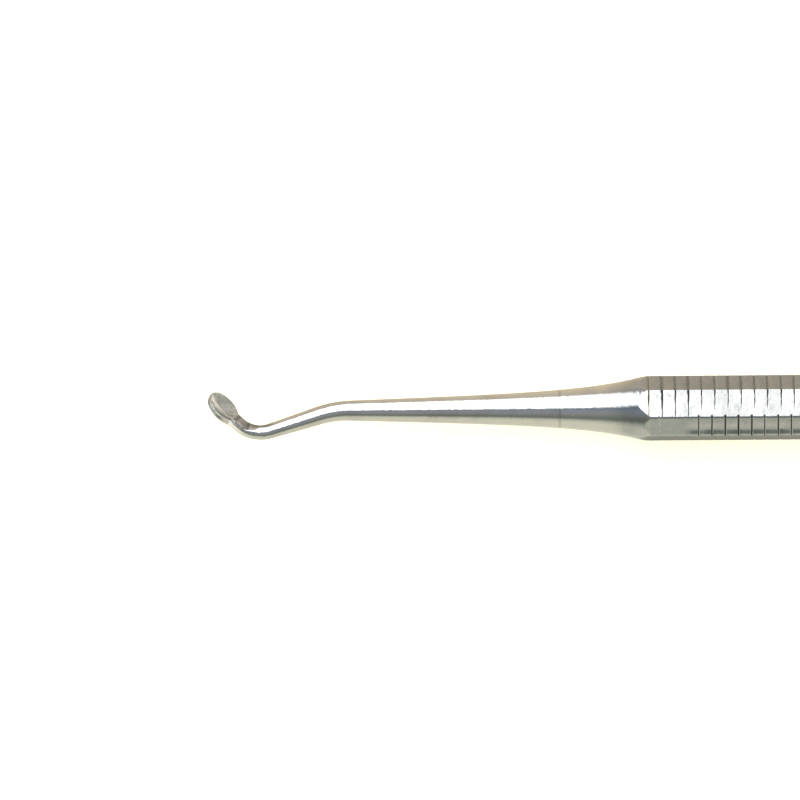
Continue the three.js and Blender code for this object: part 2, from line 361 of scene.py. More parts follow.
# %% Floor
FLOOR_SIZE = 3.0
SHADOW_EDGE = (3.3 * MM, 6.0 * MM)
SHADOW_END = (42 * MM, 44 * MM)
SHADOW_DARKNESS = 0.6
BLACK = (0, 0, 0, 1)
FLOOR_WHITE = (0.92, 0.90, 0.80, 1)
FLOOR_GLOW = (0.80, 0.76, 0.56, 1)


def join_shaders(tree, kind, *sources):
    """The output of a Mix Shader or an Add Shader, its inputs linked in order."""
    node = tree.nodes.new(kind)
    for socket, source in zip(node.inputs, sources):
        tree.links.new(source, socket)
    return node.outputs[0]


bpy.ops.mesh.primitive_plane_add(size=FLOOR_SIZE)
floor = bpy.context.object
floor.name = "floor"
floor_material = bpy.data.materials.new("light_table")
floor_material.use_nodes = True
tree = floor_material.node_tree
tree.nodes.clear()
place_on_floor = new_node(tree, "ShaderNodeTexCoord").outputs["Object"]
floor_axes = new_node(tree, "ShaderNodeSeparateXYZ", Vector=place_on_floor)
away = math_node(tree, "ABSOLUTE", floor_axes.outputs["Y"])
past_end = math_node(tree, "ABSOLUTE", floor_axes.outputs["X"])
near_handle = math_node(
    tree, "MULTIPLY",
    smooth_step(tree, away, *SHADOW_EDGE, SHADOW_DARKNESS, 0.0),
    smooth_step(tree, past_end, *SHADOW_END, 1.0, 0.0),
)
open_sheet = new_node(tree, "ShaderNodeBsdfTransparent").outputs[0]
shadow = new_node(tree, "ShaderNodeEmission", Color=BLACK).outputs[0]
white = new_node(tree, "ShaderNodeBsdfDiffuse", Color=FLOOR_WHITE).outputs[0]
glow = new_node(tree, "ShaderNodeEmission", Color=FLOOR_GLOW).outputs[0]
is_glossy = new_node(tree, "ShaderNodeLightPath").outputs["Is Glossy Ray"]
reflected = join_shaders(tree, "ShaderNodeMixShader", near_handle, open_sheet, shadow)
table = join_shaders(tree, "ShaderNodeAddShader", white, glow)
surface = join_shaders(tree, "ShaderNodeMixShader", is_glossy, table, reflected)
new_node(tree, "ShaderNodeOutputMaterial", Surface=surface)
floor.data.materials.append(floor_material)
print("floor", FLOOR_SIZE, "m across")

# %% [markdown]
# ## From a grid of points to a closed mesh
#
# Every piece here is a grid of points worked out with numpy: rows along the piece, columns round
# it. Two kinds of grid are enough. A ring has a bore, so its last row joins its first, like a
# torus. A spindle comes to a point at each end. The mesh is then turned inside out if its signed
# volume is negative, which makes it safe to mirror a grid.

# %% Mesh from a grid
SHARP_ANGLE = math.radians(32)


def ease(value, low, high):
    """A smooth step from 0 at low to 1 at high."""
    t = np.clip((value - low) / (high - low), 0, 1)
    return t * t * (3 - 2 * t)


def ring_faces(rows, columns):
    """Quads that join each row to the next, and the last row to the first."""
    here = np.arange(rows * columns).reshape(rows, columns)
    ahead = np.roll(here, -1, axis=0)
    quads = [here, np.roll(here, -1, axis=1), np.roll(ahead, -1, axis=1), ahead]
    return np.stack(quads, axis=-1).reshape(-1, 4), np.empty((0, 3), int)


def spindle_faces(rows, columns):
    """Quads between the rows, and a fan of triangles to a pole point beyond each end row."""
    quads, _ = ring_faces(rows, columns)
    quads = quads[: (rows - 1) * columns]
    first = np.arange(columns)
    last = first + (rows - 1) * columns
    start_pole, end_pole = rows * columns, rows * columns + 1
    start_fan = np.stack([np.roll(first, -1), first, np.full(columns, start_pole)], axis=-1)
    end_fan = np.stack([last, np.roll(last, -1), np.full(columns, end_pole)], axis=-1)
    return quads, np.concatenate([start_fan, end_fan])


def signed_volume(points, quads, triangles):
    """The volume inside the faces, negative where they face inwards."""
    halves = np.concatenate([quads[:, [0, 1, 2]], quads[:, [0, 2, 3]], triangles])
    a, b, c = (points[halves[:, i]] for i in range(3))
    return np.einsum("ij,ij->i", a, np.cross(b, c)).sum() / 6


def closed_mesh(name, grid, poles=None, masks=None):
    """An object from a (rows, columns, 3) grid in metres. poles are the two end points of a
    spindle, and masks are named (rows, columns) arrays that become point attributes."""
    rows, columns, _ = grid.shape
    points = grid.reshape(-1, 3)
    if poles is None:
        quads, triangles = ring_faces(rows, columns)
    else:
        quads, triangles = spindle_faces(rows, columns)
        points = np.concatenate([points, np.array(poles, float)])
    volume = signed_volume(points, quads, triangles)
    if volume < 0:
        quads, triangles = quads[:, ::-1], triangles[:, ::-1]
    mesh = bpy.data.meshes.new(name)
    mesh.vertices.add(len(points))
    mesh.vertices.foreach_set("co", points.astype(np.float32).ravel())
    corners = np.concatenate([quads.ravel(), triangles.ravel()]).astype(np.int32)
    sizes = np.concatenate([np.full(len(quads), 4), np.full(len(triangles), 3)])
    mesh.loops.add(len(corners))
    mesh.loops.foreach_set("vertex_index", corners)
    mesh.polygons.add(len(sizes))
    starts = np.concatenate([[0], np.cumsum(sizes)[:-1]]).astype(np.int32)
    mesh.polygons.foreach_set("loop_start", starts)
    mesh.update(calc_edges=True)
    for mask_name, values in (masks or {}).items():
        flat = np.zeros(len(points), np.float32)
        flat[: rows * columns] = values.ravel()
        if poles is not None:
            flat[-2:] = values[0, 0], values[-1, 0]
        mesh.attributes.new(mask_name, "FLOAT", "POINT").data.foreach_set("value", flat)
    mesh.polygons.foreach_set("use_smooth", np.ones(len(sizes), bool))
    mesh.set_sharp_from_angle(angle=SHARP_ANGLE)
    piece = bpy.data.objects.new(name, mesh)
    bpy.context.scene.collection.objects.link(piece)
    print(f"{name}: {len(points)} points, {abs(volume) / MM**3:.1f} mm3")
    return piece


# %% [markdown]
# ## Steel
#
# All the metal is one alloy, and what differs is how it was finished: the handle is linished and
# its cuts are left matt, darkened further by painted shade, the flare and the shank are polished
# by hand on a buff, and the bowl of the spoon is tumbled to a satin. Inside the last bend a dull
# brownish painted shade darkens the steel. Three node groups hold those marks of work. Each gives
# a height, a mask or a colour, and each material places them with values of its own:
#
# - buffing: the slow ripple and fine scratches that a polishing wheel leaves in a mirror surface,
# - saw_marks: how dark and rough a sawn cut is, from a mask that the geometry carries; the
#   darkness is partly the matt cut and partly painted shade,
# - tumbled: the fine frosted speckle of a tumbled or blasted surface.

# %% Buffing group
SCRATCH_SCALE = 2600.0
SCRATCH_STRETCH = (1.0, 9.0, 9.0)
HAZE_SCALE = 420.0
HAZE_EDGES = (0.42, 0.72)


def noise(tree, vector, scale, detail=2.0, roughness=0.5):
    """The 0 to 1 output of a Noise texture."""
    node = new_node(tree, "ShaderNodeTexNoise", Vector=vector, Scale=scale, Detail=detail,
                    Roughness=roughness)
    return node.outputs["Fac"]


def stretched(tree, vector, scale):
    """The vector with each axis multiplied by its own number, which stretches a pattern."""
    node = tree.nodes.new("ShaderNodeVectorMath")
    node.operation = "MULTIPLY"
    tree.links.new(vector, node.inputs[0])
    node.inputs[1].default_value = scale
    return node.outputs[0]


def build_buffing():
    """Height is a slow ripple plus fine scratches along X. Haze is where the buff left a bloom."""
    tree, given, result = group_tree(
        "buffing",
        [("Vector", VECTOR, None), ("Ripple Scale", FLOAT, 900.0),
         ("Scratches", FLOAT, 0.3)],
        [("Height", FLOAT), ("Haze", FLOAT)],
    )
    vector = given.outputs["Vector"]
    ripple = noise(tree, vector, given.outputs["Ripple Scale"], detail=3.0, roughness=0.45)
    fine = noise(tree, stretched(tree, vector, SCRATCH_STRETCH), SCRATCH_SCALE)
    height = linear(tree, fine, given.outputs["Scratches"], ripple)
    haze = smooth_step(tree, noise(tree, vector, HAZE_SCALE, detail=4.0), *HAZE_EDGES)
    tree.links.new(height, result.inputs["Height"])
    tree.links.new(haze, result.inputs["Haze"])
    return tree


BUFFING = build_buffing()
print("buffing group:", len(BUFFING.nodes), "nodes")

# %% Saw marks group
BURR_SCALE = 5200.0
BURR_SHARE = 0.35
CUT_EDGES = (0.22, 0.75)


def build_saw_marks():
    """Darkens a colour in the cuts, as matt steel and painted shade, and gives how rough they are,
    from the depth of the cut.
    """
    tree, given, result = group_tree(
        "saw_marks",
        [("Vector", VECTOR, None), ("Depth", FLOAT, 0.0), ("Color", COLOUR, (1, 1, 1, 1)),
         ("Cut Color", COLOUR, (0.05, 0.05, 0.045, 1))],
        [("Color", COLOUR), ("Cut", FLOAT)],
    )
    burr = noise(tree, given.outputs["Vector"], BURR_SCALE, detail=3.0)
    ragged = linear(tree, burr, BURR_SHARE, given.outputs["Depth"])
    cut = smooth_step(tree, ragged, *CUT_EDGES)
    darker = mix_colour(tree, cut, given.outputs["Color"], given.outputs["Cut Color"])
    tree.links.new(darker, result.inputs["Color"])
    tree.links.new(cut, result.inputs["Cut"])
    return tree


SAW_MARKS = build_saw_marks()
print("saw marks group:", len(SAW_MARKS.nodes), "nodes")

# %% Tumbled group
PATCH_SCALE = 1300.0
GRAIN_SHARE = 0.65
PATCH_SHARE = 0.35
SPECKLE_EDGES = (0.36, 0.64)


def build_tumbled():
    """Speckle is a fine light and dark grain, and Height is the same grain as relief."""
    tree, given, result = group_tree(
        "tumbled",
        [("Vector", VECTOR, None), ("Grain Scale", FLOAT, 5200.0), ("Amount", FLOAT, 1.0)],
        [("Speckle", FLOAT), ("Height", FLOAT)],
    )
    vector = given.outputs["Vector"]
    grain = noise(tree, vector, given.outputs["Grain Scale"], detail=3.0, roughness=0.7)
    patch = math_node(tree, "MULTIPLY", noise(tree, vector, PATCH_SCALE), PATCH_SHARE)
    mixed = linear(tree, grain, GRAIN_SHARE, patch)
    sharpened = smooth_step(tree, mixed, *SPECKLE_EDGES)
    for name, pattern in (("Speckle", sharpened), ("Height", grain)):
        amount = math_node(tree, "MULTIPLY", pattern, given.outputs["Amount"])
        tree.links.new(amount, result.inputs[name])
    return tree


TUMBLED = build_tumbled()
print("tumbled group:", len(TUMBLED.nodes), "nodes")

# %% [markdown]
# ## Three materials
#
# A metal in the Principled shader is Metallic 1, with its mirror colour as Base Color. Buffed
# steel reflects a little over half of the light, slightly warm. Roughness stays low, because the
# bands on the shank have clean edges, and the ripple alone makes those edges waver. The spoon's
# satin and the painted shade in the bend have no material of their own: the working end is one
# forging, so masks on its points say where the buffed steel gives way to them.

# %% Steel materials
BUFFED_LIGHT = (0.600, 0.590, 0.570, 1)
BUFFED_DARK = (0.520, 0.510, 0.490, 1)
LINISHED_LIGHT = (0.445, 0.450, 0.455, 1)
LINISHED_DARK = (0.365, 0.370, 0.370, 1)
# The colour of the cuts: partly their matt floor, partly painted shade in the grooves.
CUT_MATT_AND_SHADE_COLOUR = (0.110, 0.112, 0.108, 1)
# Painted shade: the dull brownish colour inside the last bend.
BEND_SHADE_COLOUR = (0.250, 0.225, 0.205, 1)
SATIN_LIGHT = (0.760, 0.755, 0.690, 1)
SATIN_DARK = (0.480, 0.475, 0.430, 1)
BRAZE_LIGHT = (0.50, 0.49, 0.46, 1)
BRAZE_DARK = (0.43, 0.42, 0.39, 1)
LINISHED_ROUGHNESS = 0.1
BUFFED_ROUGHNESS = 0.08
BRAZE_ROUGHNESS = 0.14
# How much each mark of work adds to the roughness.
LINISHED_HAZE_ROUGHNESS = 0.08
BUFFED_HAZE_ROUGHNESS = 0.05
CUT_ROUGHNESS = 0.35
FILLER_CUT_ROUGHNESS = 0.3
SATIN_ROUGHNESS = 0.24
HAZE_IN_COLOUR = 0.45
SATIN_RELIEF = 0.6
STEEL_RELIEF = 0.012 * MM
BRAZE_RELIEF = 0.01 * MM


def mask(tree, name):
    """A point attribute that the mesh carries, as a number."""
    node = tree.nodes.new("ShaderNodeAttribute")
    node.attribute_name = name
    return node.outputs["Fac"]


def metal(name):
    """A new material, its tree, its shader and the piece's own coordinates."""
    material = bpy.data.materials.new(name)
    material.use_nodes = True
    tree = material.node_tree
    shader = tree.nodes["Principled BSDF"]
    shader.inputs["Metallic"].default_value = 1.0
    coordinates = new_node(tree, "ShaderNodeTexCoord").outputs["Object"]
    return material, tree, shader, coordinates


def bump(tree, height, distance, strength=1.0):
    """The normal of a Bump node, where distance is the relief in metres."""
    node = new_node(tree, "ShaderNodeBump", Height=height, Distance=distance, Strength=strength)
    return node.outputs["Normal"]


def linished_steel():
    """The handle: near mirror facets with a bloom here and there, and cuts darkened as matt steel
    and as painted shade.
    """
    material, tree, shader, coordinates = metal("linished_steel")
    buff = place_group(tree, BUFFING, Vector=coordinates, Ripple_Scale=1500.0, Scratches=0.25)
    frost = place_group(tree, TUMBLED, Vector=coordinates, Grain_Scale=4200.0, Amount=0.55)
    worn = linear(tree, buff.outputs["Haze"], HAZE_IN_COLOUR, frost.outputs["Speckle"])
    steel = mix_colour(tree, worn, LINISHED_LIGHT, LINISHED_DARK)
    saw = place_group(tree, SAW_MARKS, Vector=coordinates, Depth=mask(tree, "cut"), Color=steel,
                      Cut_Color=CUT_MATT_AND_SHADE_COLOUR)
    tree.links.new(saw.outputs["Color"], shader.inputs["Base Color"])
    hazy = linear(tree, buff.outputs["Haze"], LINISHED_HAZE_ROUGHNESS, LINISHED_ROUGHNESS)
    rough = linear(tree, saw.outputs["Cut"], CUT_ROUGHNESS, hazy)
    tree.links.new(rough, shader.inputs["Roughness"])
    tree.links.new(bump(tree, buff.outputs["Height"], STEEL_RELIEF), shader.inputs["Normal"])
    return material


def buffed_steel():
    """The flare and the shank: a mirror with a slow ripple. Masks say where it is fully buffed,
    where painted shade dulls and darkens it inside the last bend, and where it is satin."""
    material, tree, shader, coordinates = metal("buffed_steel")
    buff = place_group(tree, BUFFING, Vector=coordinates, Ripple_Scale=1100.0, Scratches=0.3)
    frost = place_group(tree, TUMBLED, Vector=coordinates, Grain_Scale=5200.0, Amount=1.0)
    satin = mask(tree, "satin")
    bright = mix_colour(tree, buff.outputs["Haze"], BUFFED_LIGHT, BUFFED_DARK)
    # Where the buffing mask falls below 1 the linished colour shows: the real finish on the flare,
    # painted shade in the last bend.
    linished_and_painted_shade = mix_colour(tree, buff.outputs["Haze"], LINISHED_LIGHT, LINISHED_DARK)
    steel = mix_colour(tree, mask(tree, "buffed_less_painted_shade"), linished_and_painted_shade, bright)
    # Painted shade inside the last bend.
    steel = mix_colour(tree, mask(tree, "bend_shade"), steel, BEND_SHADE_COLOUR)
    speckled = mix_colour(tree, frost.outputs["Speckle"], SATIN_DARK, SATIN_LIGHT)
    tree.links.new(mix_colour(tree, satin, steel, speckled), shader.inputs["Base Color"])
    hazy = linear(tree, buff.outputs["Haze"], BUFFED_HAZE_ROUGHNESS, BUFFED_ROUGHNESS)
    rough = linear(tree, satin, SATIN_ROUGHNESS, hazy)
    tree.links.new(rough, shader.inputs["Roughness"])
    grain = math_node(tree, "MULTIPLY", frost.outputs["Height"], satin)
    relief = linear(tree, grain, SATIN_RELIEF, buff.outputs["Height"])
    tree.links.new(bump(tree, relief, STEEL_RELIEF), shader.inputs["Normal"])
    return material


def braze_silver():
    """The filler in the seams: a shade warmer than the steel, and dressed flush with it."""
    material, tree, shader, coordinates = metal("braze_silver")
    buff = place_group(tree, BUFFING, Vector=coordinates, Ripple_Scale=1500.0, Scratches=0.4)
    filler = mix_colour(tree, buff.outputs["Haze"], BRAZE_LIGHT, BRAZE_DARK)
    saw = place_group(tree, SAW_MARKS, Vector=coordinates, Depth=mask(tree, "cut"), Color=filler,
                      Cut_Color=CUT_MATT_AND_SHADE_COLOUR)
    tree.links.new(saw.outputs["Color"], shader.inputs["Base Color"])
    rough = linear(tree, saw.outputs["Cut"], FILLER_CUT_ROUGHNESS, BRAZE_ROUGHNESS)
    tree.links.new(rough, shader.inputs["Roughness"])
    tree.links.new(bump(tree, buff.outputs["Height"], BRAZE_RELIEF), shader.inputs["Normal"])
    return material


LINISHED = linished_steel()
BUFFED = buffed_steel()
BRAZE = braze_silver()
print("materials:", ", ".join(material.name for material in (LINISHED, BUFFED, BRAZE)))

# %% [markdown]
# ## The outside of the handle
#
# The handle and its two flares are dressed as one surface once they are brazed together, so one
# formula gives the radius of all of it at any place along the axis and any angle round it. Eight
# planes and one turned profile each allow a radius, and the surface is the smallest of them. A
# smooth minimum instead of a sharp one rounds the corners to a radius of about a fifth of a
# millimetre, as buffing does, and gives the arcs where the flare runs out into each facet.
#
# Each saw cut lowers one plane in a narrow V, so a cut through one facet also notches the corners
# beside it, as a real one does. On the top and bottom facets the saw was held at a slant, which
# makes a cut wide and deep at one edge of the facet and lets it run out before the other.

# %% The facets and their cuts
HALF_ACROSS = (tube_high.z - tube_low.z) / 2
WIDE_RAISE = 0.15 * MM
SEAM_TO_END = 0.48 * MM
HALF_HANDLE = tube_high.x + SEAM_TO_END
FIRST_CUT = 0.33 * MM
CUT_PITCH = 1.29 * MM
CUTS = 24
FADED_CUTS = 4
CORNER_POWER = 150
FLARE_POWER = 300
WIDE_FACET_SHIFT = 0.3 * MM
FACETS = np.arange(8)
FACET_ANGLES = FACETS * math.pi / 4
HALF_FACET = math.pi / 8
# The four kinds of facet, in order: side, soft, slanted and wide.
SLANTED, WIDE = 2, 3
IS_SLANTED = FACETS % 4 == SLANTED
IS_WIDE = FACETS % 4 == WIDE
FACET_DISTANCES = HALF_ACROSS + WIDE_RAISE * IS_WIDE
KIND_DEPTH = np.array([0.03, 0.008, 0.10, 0.10]) * MM
KIND_HALF_WIDTH = np.array([0.16, 0.24, 0.08, 0.12]) * MM
# How dark each kind of facet's cuts are painted, partly as matt steel and partly as painted shade.
KIND_CUT_MATT_AND_SHADE = np.array([0.2, 0.3, 0.66, 0.75])
DARKNESS_GAIN = 1.6
# A slanted cut's strength at one edge of its facet, and how fast it falls off across it, for the
# first few cuts and for the rest.
SLANT_STRENGTH = 1.15
SLANT_FALL = (0.45, 0.76)
# Soft dark patches on the first lands of the slanted facets, as (millimetres in from the end, its
# spread, place across the facet, its spread, darkness).
DARK_PATCHES = ((1.0, 0.13, -0.45, 0.35, 0.42), (2.3, 0.18, -0.62, 0.2, 0.36))
TROUGH_DEPTH = 0.1 * MM
TROUGH_ACROSS = (-0.4, 0.28, 0.85)
TROUGH_FADE = 1.2 * MM
TROUGH_WAVES = (0.27 * MM, 1.1 * MM)
RIPPLE_HEIGHT = 0.003 * MM
# The turned profile in millimetres, as in the CAD model.
NECK_RADIUS = 0.71
SHANK_TAPER = 0.0303
TAPER_END = 38.0
FLARE = 1.32
FLARE_FADE = 5.4
CUT_WANDER = 0.012 * MM
rng = np.random.default_rng(11)
cut_wander = rng.normal(0, CUT_WANDER, CUTS)
cut_strength = rng.uniform(0.75, 1.1, (len(FACETS), CUTS))
# The saw bit less into the ends of the wide facets, and hardest into the slanted ones' second cut.
cut_strength[IS_WIDE, :FADED_CUTS] *= 0.3
cut_strength[IS_SLANTED, 1] *= 1.6
cut_strength[IS_SLANTED, FADED_CUTS:] *= 0.8


def cut_depth(x, facet, across):
    """How far the plane of a facet is lowered at x, and how dark the cut is painted there, partly
    as its matt floor and partly as painted shade. Each cut is a V round its own centre, and across
    runs from -1 to 1 over the facet, where a slanted cut gets shallower and narrower."""
    kind = facet % 4
    inward = HALF_HANDLE - np.abs(x) + (WIDE_FACET_SHIFT if IS_WIDE[facet] else 0)
    nearest = np.clip(np.rint((inward - FIRST_CUT) / CUT_PITCH), 0, CUTS - 1).astype(int)
    off_centre = np.abs(inward - FIRST_CUT - nearest * CUT_PITCH - cut_wander[nearest])
    share = cut_strength[facet, nearest]
    if kind == SLANTED:
        fall = np.where(nearest < FADED_CUTS, *SLANT_FALL)
        share = share * np.clip(SLANT_STRENGTH - fall * (across + 1), 0, None)
    left = np.clip(share - off_centre / KIND_HALF_WIDTH[kind], 0, None)
    darkness = np.clip(left * DARKNESS_GAIN, 0, 1) * KIND_CUT_MATT_AND_SHADE[kind]
    if kind == SLANTED:
        darkness = np.maximum(darkness, dark_patches(inward, across))
    return left * KIND_DEPTH[kind], darkness


def dark_patches(inward, across):
    """Soft round patches of darkness on the slanted facets, each a bell curve both ways."""
    total = 0
    for place, spread, place_across, spread_across, darkness in DARK_PATCHES:
        off_along = (inward - place * MM) / (spread * MM)
        off_across = (across - place_across) / spread_across
        total = total + darkness * np.exp(-(off_along**2) - off_across**2)
    return total


def trough_depth(x, across):
    """A shallow trough along a wide facet, left by the wheel, with its steep side outermost. It
    starts where the faded cuts end."""
    inner, floor, outer = TROUGH_ACROSS
    shape = ease(across, inner, floor) * (1 - ease(across, floor, outer))
    start = HALF_HANDLE - FIRST_CUT - (FADED_CUTS - 0.5) * CUT_PITCH
    wave = 0.8 + 0.3 * np.sin(x / TROUGH_WAVES[0]) * np.sin(x / TROUGH_WAVES[1])
    return TROUGH_DEPTH * shape * wave * (1 - ease(np.abs(x), start, start + TROUGH_FADE))


def turned_radius(station):
    """The lathe's profile, out from the end of the octagon: a straight taper down to the neck,
    plus a flare that dies away exponentially."""
    s = station / MM
    taper = NECK_RADIUS + SHANK_TAPER * np.maximum(TAPER_END - s, 0)
    return (taper + FLARE * np.exp(-s / FLARE_FADE)) * MM


def buffing_ripple(station, turn):
    """The few thousandths of a millimetre of waviness that buffing by hand leaves on a turned
    surface: waves along the axis times waves round it, so the reflections get ragged edges."""
    s = station / MM
    slow = np.sin(9.7 * s + 2.2 * np.sin(1.9 * s)) * np.cos(7 * turn + 1.1 * s)
    fast = 0.6 * np.sin(17 * s + np.sin(0.7 * s)) * np.cos(11 * turn - 2.3 * s)
    return RIPPLE_HEIGHT * (slow + fast)


def bar_radius(x, angle):
    """The outside of handle and flare at x, a column, and angle, a row: the smooth minimum of
    eight planes and the turned profile. Returns the radius and how dark the nearest cut is
    painted, as matt steel and painted shade together."""
    x, angle = np.broadcast_arrays(x, angle)
    planes, darkness = np.zeros(x.shape), np.zeros(x.shape)
    for facet in FACETS:
        turn = (angle - FACET_ANGLES[facet] + math.pi) % (2 * math.pi) - math.pi
        facing = np.clip(np.cos(turn), 0.05, None)
        across = np.clip(np.tan(np.clip(turn, -1, 1)) / math.tan(HALF_FACET), -1.2, 1.2)
        depth, dark = cut_depth(x, facet, across)
        if IS_WIDE[facet]:
            depth = depth + trough_depth(x, across)
        planes += (HALF_ACROSS * facing / (FACET_DISTANCES[facet] - depth)) ** CORNER_POWER
        darkness = np.where(np.abs(turn) <= HALF_FACET, dark, darkness)
    octagon = HALF_ACROSS * planes ** (-1 / CORNER_POWER)
    station = np.abs(x) - HALF_HANDLE
    turned = turned_radius(station) + buffing_ripple(station, angle)
    both = (HALF_ACROSS / octagon) ** FLARE_POWER + (HALF_ACROSS / turned) ** FLARE_POWER
    return HALF_ACROSS * both ** (-1 / FLARE_POWER), darkness * (octagon < turned)


print(CUTS, "cuts at each end,", round(CUT_PITCH / MM, 2), "mm apart")

# %% Where the grid needs its rows and columns
COLUMNS_PER_FACET = 18
COLUMN_CROWDING = 0.6
V_OFFSETS = np.array([-0.22, -0.15, -0.1, -0.05, 0.0, 0.05, 0.1, 0.15, 0.22]) * MM
MIDDLE_ROWS = 24
LEAST_ROW_GAP = 0.012 * MM


def column_angles():
    """Angles round the bar, crowded towards the corners between the facets."""
    even = np.arange(COLUMNS_PER_FACET) / COLUMNS_PER_FACET
    crowded = even - COLUMN_CROWDING * np.sin(2 * math.pi * even) / (2 * math.pi)
    corners = FACET_ANGLES - HALF_FACET
    return (corners[:, None] + crowded[None, :] * math.pi / 4).ravel()


def cut_rows(low, high):
    """Places along X from low to high, with rows at the lips, walls and floor of each cut."""
    centres = HALF_HANDLE - FIRST_CUT - np.arange(CUTS) * CUT_PITCH - cut_wander
    on_facets = centres[:, None] + V_OFFSETS
    on_wide = centres[:, None] + WIDE_FACET_SHIFT + V_OFFSETS
    one_end = np.concatenate([on_facets.ravel(), on_wide.ravel()])
    middle = np.linspace(-centres.min(), centres.min(), MIDDLE_ROWS)
    rows = np.unique(np.round(np.concatenate([one_end, -one_end, middle, [low, high]]), 7))
    rows = rows[(rows >= low) & (rows <= high)]
    far_enough = np.concatenate([[True], np.diff(rows) > LEAST_ROW_GAP])
    far_enough[-1] = True
    return rows[far_enough]


ANGLES = column_angles()


def round_axis(x, radius):
    """Points round the handle's axis: x is a column, radius is a (rows, columns) array."""
    x, radius = np.broadcast_arrays(x, radius)
    return np.stack(
        [x, radius * np.cos(ANGLES), AXIS_HEIGHT + radius * np.sin(ANGLES)], axis=-1
    )


print(len(ANGLES), "columns round the bar")

# %% [markdown]
# ## Handle tube
#
# The tube is a ring grid: its outside from end to end, and the round bore back again. The bore is
# what the ferrules' spigots are brazed into.

# %% Handle tube
BORE_RADIUS = 2.15 * MM
BORE_ROWS = 12
# How far out from the octagon's end the wheel starts to brighten the steel, and has finished.
BRIGHTENS_FROM = 0.5 * MM
BRIGHT_FROM = 4.5 * MM


def rows_of_radius(xs, radius):
    """A plain round stretch: one radius, or one per row, repeated round every column."""
    xs = np.atleast_1d(np.asarray(xs, float))[:, None]
    radii = np.broadcast_to(np.reshape(radius, (-1, 1)), (len(xs), len(ANGLES)))
    return xs, radii, np.zeros(radii.shape)


def ring_piece(name, *stretches):
    """A closed ring grid from stretches of (x column, radius array, cut mask). The buffing mask
    says how far the wheel has brightened the steel, which it does more towards the shank; on these
    pieces it holds no painted shade."""
    xs = np.concatenate([np.broadcast_to(x, r.shape) for x, r, _ in stretches])
    radii = np.concatenate([r for _, r, _ in stretches])
    cuts = np.concatenate([c for _, _, c in stretches])
    buffed_less_painted_shade = ease(np.abs(xs), HALF_HANDLE + BRIGHTENS_FROM, HALF_HANDLE + BRIGHT_FROM)
    return closed_mesh(name, round_axis(xs, radii), masks={"cut": cuts, "buffed_less_painted_shade": buffed_less_painted_shade})


outside_x = cut_rows(tube_low.x, tube_high.x)[:, None]
outside_radius, outside_cut = bar_radius(outside_x, ANGLES)
bore_x = np.linspace(tube_high.x, tube_low.x, BORE_ROWS)
handle = ring_piece(
    "handle",
    (outside_x, outside_radius, outside_cut),
    rows_of_radius(bore_x, BORE_RADIUS),
)
handle.data.materials.append(LINISHED)

# %% [markdown]
# ## Ferrules
#
# A ferrule takes the handle from octagon to round and holds the tang. Its flare is the same
# formula as the handle, its spigot goes 10 mm into the tube, and its bore goes right through. The
# flare starts on the far side of the first cut, so the seam is lost in that cut.

# %% Ferrules
SPIGOT_RADIUS = 2.1 * MM
TANG_BORE_RADIUS = 1.2 * MM
SPIGOT_CHAMFER = 0.2 * MM
# The stretch past the octagon's end where the facets run out needs the closest rows.
RUN_OUT = 1.2 * MM
FLARE_ROWS, RUN_OUT_ROWS = 64, 46


def ferrule(name, side):
    """A ferrule at one end: side is -1 for the left and 1 for the right."""
    face = -seam_ring_low.x + BRAZE_GAP
    mouth, spigot_end = -ferrule_low.x, -ferrule_high.x
    flare_x = np.linspace(mouth, HALF_HANDLE + RUN_OUT, FLARE_ROWS)
    near_x = np.linspace(HALF_HANDLE + RUN_OUT, face, RUN_OUT_ROWS)[1:]
    outer_x = side * np.concatenate([flare_x, near_x])[:, None]
    radius, cut = bar_radius(outer_x, ANGLES)
    spigot_x = np.array([face, spigot_end + SPIGOT_CHAMFER, spigot_end])
    spigot_r = np.array([SPIGOT_RADIUS, SPIGOT_RADIUS, SPIGOT_RADIUS - SPIGOT_CHAMFER])
    bore_x = np.linspace(spigot_end, mouth, 8)
    return ring_piece(
        name,
        (outer_x, radius, cut),
        rows_of_radius(side * spigot_x, spigot_r),
        rows_of_radius(side * bore_x, TANG_BORE_RADIUS),
    )


left_ferrule = ferrule("left_ferrule", -1)
right_ferrule = ferrule("right_ferrule", 1)
for piece in (left_ferrule, right_ferrule):
    piece.data.materials.append(BUFFED)
print("ferrules", round(-ferrule_low.x / MM, 2), "mm out to the mouth")

# %% [markdown]
# ## Braze rings
#
# Where two pieces meet, the braze filler shows as a narrow ring. It was dressed flush with the
# steel on the same wheel, so each ring takes its outside from the surface on both sides of it, and
# only its warmer colour tells it apart.

# %% Braze rings
RING_ROWS = 9
SPIGOT_CLEARANCE = 0.03 * MM


def braze_ring(name, side, near, far, inner, flush):
    """A flush ring between two distances from the middle of the handle."""
    outer_x = side * np.linspace(far, near, RING_ROWS)[:, None]
    if flush == "facets":
        radius, cut = bar_radius(outer_x, ANGLES)
    else:
        turned = turned_radius(np.abs(outer_x) - HALF_HANDLE)
        radius = np.broadcast_to(turned, (len(outer_x), len(ANGLES)))
        cut = np.zeros(radius.shape)
    return ring_piece(
        name, (outer_x, radius, cut), rows_of_radius(side * np.array([near, far]), inner)
    )


